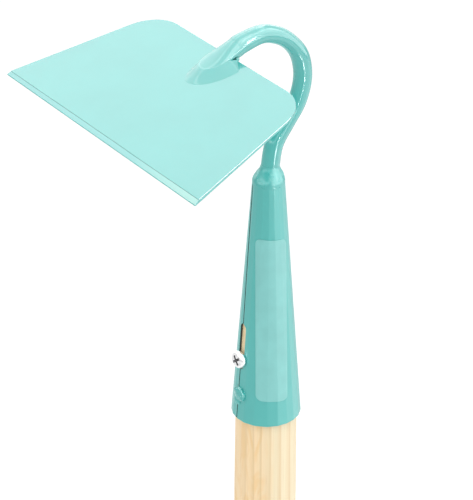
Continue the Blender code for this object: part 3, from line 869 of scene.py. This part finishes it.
def make_tongue_weld(paint):
    """A horseshoe bead that slopes from a soft crest at the tongue down to a thin toe on the blade."""
    inner = TONGUE_HALF_WIDTH - 0.7 * MM
    section = [(-0.02, 0.35 * MM), (-0.02, WELD_HEIGHT - 0.5 * MM)]
    slope = ((0.03, 0.93), (0.07, 0.975), (0.12, 0.96), (0.2, 0.885), (0.35, 0.71), (0.5, 0.53))
    slope += ((0.65, 0.36), (0.78, 0.22), (0.88, 0.12), (0.95, 0.05), (1.0, 0.015))
    section += [(share, height * WELD_HEIGHT) for share, height in slope]
    section.append((1.0, -0.2 * MM))
    turns, tail_steps = 28, 10
    tail_narrowing = 2.6 * MM
    inner_draw, outer_draw = 0.96, 0.45  # how far back towards the blade's edge a tail's sides run
    toe, foot = TONGUE_REACH - 1.2 * MM - OVAL_CENTRE, WELD_REACH - OVAL_CENTRE
    rings = []
    for i in range(-turns - tail_steps, turns + tail_steps + 1):
        turn = radians(90) * max(-1, min(i / turns, 1))
        tail = max(abs(i) - turns, 0) / tail_steps
        width = (WELD_HALF_WIDTH if turn > 0 else WELD_FAR_HALF_WIDTH) - tail_narrowing * tail**2
        inside = Vector((inner * sin(turn), OVAL_CENTRE * (1 - inner_draw * tail) + toe * cos(turn)))
        outside = Vector((width * sin(turn), OVAL_CENTRE * (1 - outer_draw * tail) + foot * cos(turn)))
        low_end = 1 - 0.7 * tail**1.5
        ring = []
        for share, height in section:
            x, reach = inside.lerp(outside, share)
            height *= low_end if height > 0 else 1
            lump = 0.10 * MM * ripple((x, reach, 0), 4.5 * MM, 5.0) * sin(pi * min(max(share, 0), 1))
            ring.append(Vector((x, -reach, height + lump)))
        rings.append(ring)
    weld = join("tongue_weld_bead", [loft("bead", rings, 50), make_root_run()])
    weld.data.transform(blade_matrix())
    return dress(weld, "tongue_weld", paint)


def make_socket_weld(paint):
    """The shoulder between the socket's narrow end and the neck: full at its foot, hollow above, lumpy."""
    overlap, rise = 1.2 * MM, SHOULDER_HEIGHT + 1.2 * MM
    rings, segments, steps = [], 72, 28
    inner = NECK_ROOT_RADIUS - 0.06 * MM
    for i in range(-2, steps + 1):
        share = max(i, 0) / steps
        height = SOCKET_LENGTH + rise * share + min(i, 0) / 2 * overlap
        radius = inner + (SOCKET_TOP_RADIUS + 0.05 * MM - inner) * (1 + cos(pi * share**0.95)) / 2
        if i < 0:
            radius = socket_radius(height) + 0.02 * MM
        ring = []
        for point in circle(radius, RIM_Z + height, segments):
            lump = 0.45 * MM * ripple(point, 3.4 * MM, 3.0) * sin(pi * min(share * 1.1, 1))
            outward = Vector((point.x, point.y, 0)).normalized()
            ring.append(point + outward * lump + Vector((0, SHOULDER_LEAN * share, 0)))
        rings.append(ring)
    return dress(loft("shoulder_weld", rings, 60), "socket_weld", paint)


def seam_half_width(height):
    """Half the width of the opening between the rolled edges, wider along the slot."""
    if SLOT_FROM < height < SLOT_TO:
        nearest_end = min(height - SLOT_FROM, SLOT_TO - height)
        inside = max(SLOT_HALF_WIDTH - nearest_end, 0)
        return max(SEAM_HALF_WIDTH, (SLOT_HALF_WIDTH**2 - inside**2) ** 0.5)
    return SEAM_HALF_WIDTH


def press_flats(turn):
    """How far the sheet lies inside a true round: flats of uneven width, one from each press stroke."""
    strokes, depth = 20, 0.21 * MM
    place = strokes * (turn + 0.05 * sin(3 * turn + 1.0)) / (2 * pi)
    middle = 2 * (place % 1.0) - 1
    return -depth * (1 - middle**2)


def make_socket(paint, gap_shade):
    """The rolled sheet: a C at each height, with the flats that press strokes leave along it."""
    ends = (0, 0.15, 0.4, 0.8, 1.4, 2.1)
    heights = [i * 3 * MM for i in range(9)]
    heights += [SLOT_FROM + step * MM for step in ends]
    heights += [SLOT_FROM + (4 + 3 * i) * MM for i in range(6)]
    heights += [SLOT_TO - step * MM for step in reversed(ends)]
    heights += [SLOT_TO + (SOCKET_LENGTH - SLOT_TO) * i / 20 for i in range(1, 21)]
    segments = 176
    rings = []
    for height in heights:
        opening = seam_half_width(height)
        ring = []
        for outer, order in ((True, range(segments + 1)), (False, range(segments, -1, -1))):
            radius = socket_radius(height) - (0 if outer else SOCKET_WALL)
            start = asin(opening / radius)
            for k in order:
                turn = seam_azimuth(height) + start + (2 * pi - 2 * start) * k / segments
                reach = radius + press_flats(turn) * radius / SOCKET_RIM_RADIUS
                ring.append(Vector((reach * sin(turn), -reach * cos(turn), RIM_Z + height)))
        rings.append(ring)
    socket = loft("rolled_socket", rings, 40)
    for material in (paint, gap_shade):
        socket.data.materials.append(material)
    # painted shade: the walls of the seam and the slot take the near-black material, for the shade in the gap
    for face in socket.data.polygons:
        height = face.center.z - RIM_Z
        back = Matrix.Rotation(-seam_azimuth(height), 3, "Z")
        middle, normal = back @ face.center, back @ face.normal
        beside_seam = middle.y < 0 and abs(middle.x) < SLOT_HALF_WIDTH + 0.3 * MM
        in_slot = SLOT_FROM - 0.3 * MM < height < SLOT_TO + 0.3 * MM
        if beside_seam and abs(normal.y) < 0.6 and (in_slot or abs(normal.x) > 0.7):
            face.material_index = GAP_SHADE_SLOT
    soften(socket, 0.25 * MM, 45, 2)
    return dress(socket, "socket", None)


def make_seam_tack(paint):
    """A blob of weld with three smaller ones run into it, all drowned in paint."""
    shape = bmesh.new()
    lumps = [((0, 0, 0.15), 0.85), ((0.5, -0.5, -0.05), 0.4), ((-0.35, -0.1, -0.85), 0.5)]
    lumps.append(((-0.4, -0.35, 0.5), 0.4))
    for offset, size in lumps:
        part = bmesh.ops.create_icosphere(shape, subdivisions=5, radius=1.0)
        for vert in part["verts"]:
            grown = Vector(vert.co) * (1 + 0.14 * ripple(vert.co, 0.7, 4.0 + size))
            vert.co = grown * size + Vector(offset)
    mesh = bpy.data.meshes.new("tack_blob")
    shape.to_mesh(mesh)
    shape.free()
    mesh.transform(on_socket(TACK_AZIMUTH, TACK_ABOVE_RIM) @ Matrix.Diagonal((*TACK_SIZE, 1.0)))
    tack = add_object("tack_blob", mesh, 180)
    remesh = tack.modifiers.new("merge", "REMESH")
    remesh.mode = "VOXEL"
    remesh.voxel_size = 0.11 * MM
    smooth = tack.modifiers.new("flow", "SMOOTH")
    smooth.iterations = 5
    apply_modifiers(tack)
    tack.data.shade_smooth()
    return dress(tack, "seam_tack", paint)


# ---------------------------------------------------------------- screw and label

def screw_matrix():
    """Screw axes: Z out of the socket, square to its slope, from the socket's surface."""
    lean = socket_lean()
    place = on_socket(seam_azimuth(SCREW_ABOVE_RIM), SCREW_ABOVE_RIM)
    return place @ Matrix.Rotation(SCREW_YAW, 4, "Z") @ Matrix.Rotation(pi / 2 - lean, 4, "X")


def make_screw(material, shadow):
    """Pan head with a cross recess over a threaded shank."""
    segments, pitch, thread = 64, 1.6 * MM, 0.42 * MM
    rings = []
    shank_top, point = 0.2 * MM, 4 * MM
    steps = 170
    for i in range(steps + 1):
        depth = SCREW_LENGTH * (1 - i / steps)
        z = shank_top - depth
        taper = min(1.0, 0.08 + (SCREW_LENGTH - depth) / point)
        ring = []
        for k in range(segments):
            angle = 2 * pi * k / segments
            phase = (z / pitch - k / segments) % 1.0
            crest = max(0.0, 1 - abs(phase - 0.5) * 4) if depth > 1.5 * MM else 0.0
            reach = (SCREW_SHANK_RADIUS - thread * (1 - crest)) * taper
            ring.append(Vector((reach * cos(angle), reach * sin(angle), z)))
        rings.append(ring)
    rim, under = 0.9 * MM, 0.3 * MM
    for inset, up in ((0.35, 0), (0.08, 0.1), (0, 0.35)):
        rings.append(circle(SCREW_HEAD_RADIUS - inset * MM, under + up * MM, segments))
    rings.append(circle(SCREW_HEAD_RADIUS, under + rim, segments))
    for i in range(1, 15):
        turn = radians(87) * i / 14
        top = under + rim + (SCREW_HEAD_HEIGHT - rim) * sin(turn)
        rings.append(circle(SCREW_HEAD_RADIUS * cos(turn) ** 0.5, top, segments))
    screw = loft("pan_head_screw", rings, 40)
    for k in range(2):
        wing_rings = []
        for z, long, wide in ((0.9, 0.9, 0.34), (2.3, 2.0, 0.52), (3.5, 2.9, 0.68)):
            corners = ((long, wide), (-long, wide), (-long, -wide), (long, -wide))
            wing_rings.append([Vector((x * MM, y * MM, z * MM)) for x, y in corners])
        wing = loft("wing", wing_rings)
        wing.matrix_world = Matrix.Rotation(radians(38 + 90 * k), 4, "Z")
        cut(screw, wing)
    screw.data.set_sharp_from_angle(angle=radians(40))
    screw.data.materials.clear()
    for finish in (material, shadow):
        screw.data.materials.append(finish)
    # painted shade: the faces deep in the cross recess take the dark material
    for face in screw.data.polygons:
        middle = face.center
        deep = 0.6 * MM < middle.z < SCREW_HEAD_HEIGHT + 0.2 * MM
        if deep and Vector(middle.xy).length < 2.7 * MM:
            face.material_index = SHADOW_SLOT
    screw.data.transform(screw_matrix())
    soften(screw, 0.06 * MM, 50, 2)
    return dress(screw, "socket_screw", None)


def make_label(material):
    """A thin film with round corners, wrapped on the socket."""
    columns, steps = 48, 8
    turns = [radians(90) * i / steps for i in range(steps + 1)]
    corner = [(LABEL_CORNER * (1 - cos(t)), LABEL_CORNER * (1 - sin(t))) for t in turns]
    rows = [(LABEL_FROM + up, LABEL_WIDTH / 2 - inset) for up, inset in corner]
    rows += [(LABEL_FROM + (LABEL_TO - LABEL_FROM) * i / 12, LABEL_WIDTH / 2) for i in range(1, 12)]
    rows += [(LABEL_TO - up, LABEL_WIDTH / 2 - inset) for up, inset in reversed(corner)]
    rings = []
    for height, half_width in rows:
        ring = []
        for lift, order in ((0.22 * MM, range(columns + 1)), (0.02 * MM, range(columns, -1, -1))):
            radius = socket_radius(height) + lift
            for k in order:
                aside = half_width * (2 * k / columns - 1)
                turn = LABEL_AZIMUTH + aside / radius
                sag = LABEL_SLANT * aside + aside**2 * sin(socket_lean()) / (2 * radius)
                reach = radius + 0.7 * press_flats(turn) * radius / SOCKET_RIM_RADIUS
                ring.append(Vector((reach * sin(turn), -reach * cos(turn), RIM_Z + height - sag)))
        rings.append(ring)
    return dress(loft("label_film", rings, 40), "label", material)


# ---------------------------------------------------------------- pole and grip

def butt_dome(radius, height, base, steps=14):
    """(radius, z) of a rounded end, from near the axis out to the straight side."""
    turns = [radians(86 - 86 * i / steps) for i in range(steps + 1)]
    return [(radius * cos(t), base - height * sin(t)) for t in turns]


def cross_drill(radius):
    reach = POLE_RADIUS + 5 * MM
    drill = turned("drill", [(radius, -reach), (radius, reach)], 32)
    drill.matrix_world = hole_matrix() @ Matrix.Rotation(pi / 2, 4, "Y")
    return drill


def make_pole(material):
    """The turned pole, thinner under the grip and tapered into the socket."""
    inside = GRIP_WALL + 0.1 * MM
    clearance = SOCKET_WALL + 0.15 * MM
    into_socket = 20 * MM
    top_radius = socket_radius(POLE_TOP - RIM_Z) - clearance
    profile = butt_dome(GRIP_RADIUS - inside, BUTT_DOME - inside, BUTT_Z + BUTT_DOME)
    profile += [
        (GRIP_RADIUS - inside, GRIP_TOP - 1.5 * MM),
        (POLE_RADIUS, GRIP_TOP + 0.3 * MM),
    ]
    below = RIM_Z - POLE_TAPER_BELOW_RIM
    for i in range(1, 41):
        profile.append((POLE_RADIUS, GRIP_TOP + (below - GRIP_TOP) * i / 40))
    profile += [
        (POLE_RADIUS_AT_RIM, RIM_Z),
        (socket_radius(into_socket) - clearance, RIM_Z + into_socket),
        (top_radius, POLE_TOP - 1 * MM),
        (top_radius - 0.6 * MM, POLE_TOP - 0.3 * MM),
        (top_radius - 1.6 * MM, POLE_TOP),
    ]
    pole = turned("turned_pole", profile)
    pilot = SCREW_SHANK_RADIUS + 0.1 * MM
    drill = turned("pilot", [(pilot, -SCREW_LENGTH - 1 * MM), (pilot, 1 * MM)], 32)
    drill.matrix_world = screw_matrix()
    cut(pole, drill)
    cut(pole, cross_drill(HOLE_RADIUS))
    pole.data.set_sharp_from_angle(angle=radians(35))
    return dress(pole, "pole", material)


def make_grip(material):
    """The dipped sleeve: a soft lip that wanders a little, and a skin that thickens towards the butt."""
    segments = 96
    inner = GRIP_RADIUS - GRIP_WALL
    base = BUTT_Z + BUTT_DOME
    outside = butt_dome(GRIP_RADIUS, BUTT_DOME, base, 20)
    outside += [(GRIP_RADIUS, base + (GRIP_TOP - base) * i / 30) for i in range(1, 30)]
    lip = [(0.0, 1.6), (0.02, 1.1), (0.1, 0.6), (0.24, 0.25), (0.42, 0.06), (0.55, 0.0)]
    outside += [(GRIP_RADIUS - fall * MM, GRIP_TOP - down * MM) for fall, down in lip]
    inside = [(POLE_RADIUS + 0.05 * MM, GRIP_TOP - 0.1 * MM), (inner, GRIP_TOP - 1.8 * MM)]
    inside += reversed(butt_dome(inner, BUTT_DOME - GRIP_WALL, base))
    rings = []
    for radius, z in outside + inside:
        near_lip = exp(-((GRIP_TOP - z) / (6 * MM)))
        ring = []
        for point in circle(radius, z, segments):
            point.z -= 0.45 * MM * near_lip * (1 + ripple(point, 14 * MM, 6.0))
            ring.append(point)
        rings.append(ring)
    grip = loft("dipped_grip", rings, 50)
    cut(grip, cross_drill(HOLE_RADIUS))
    grip.data.set_sharp_from_angle(angle=radians(50))
    soften(grip, 0.15 * MM, 60, 2)
    return dress(grip, "grip", material)


def make_head():
    turquoise = (0.071, 0.440, 0.412)
    gloss = paint_material("turquoise_paint", turquoise, 0.12)
    # painted light: the sheet's copy of the paint is a little lighter, to lift the socket's shaded side
    satin = paint_material("turquoise_paint_on_sheet_lightened", shade(turquoise, 1.03), 0.32)
    # the ground bevel's paint: lighter than the top, part thin coat, part painted highlight
    ground = ground_edge_material((0.148, 0.51, 0.49), (0.265, 0.59, 0.53))
    # painted shade: a darker copy of the paint for the dark line along the crease
    crease = paint_material("crease_painted_shade", shade(turquoise, 0.6), 0.35)
    # painted highlight: the pale paint on the blade's right-hand edge
    make_blade(gloss, ground, crease, paint_material("painted_edge_highlight", (0.80, 0.93, 0.91), 0.2))
    make_neck(gloss)
    make_tongue_weld(gloss)
    make_socket_weld(paint_material("turquoise_paint_on_weld", turquoise, 0.28))
    make_socket(satin, gap_shade_material())
    make_seam_tack(gloss)
    make_screw(zinc_material(), recess_shade_material())
    make_label(film_material())


make_camera()
make_hang_loop()
make_studio()
make_head()
make_pole(pine_material())
make_grip(dip_material())
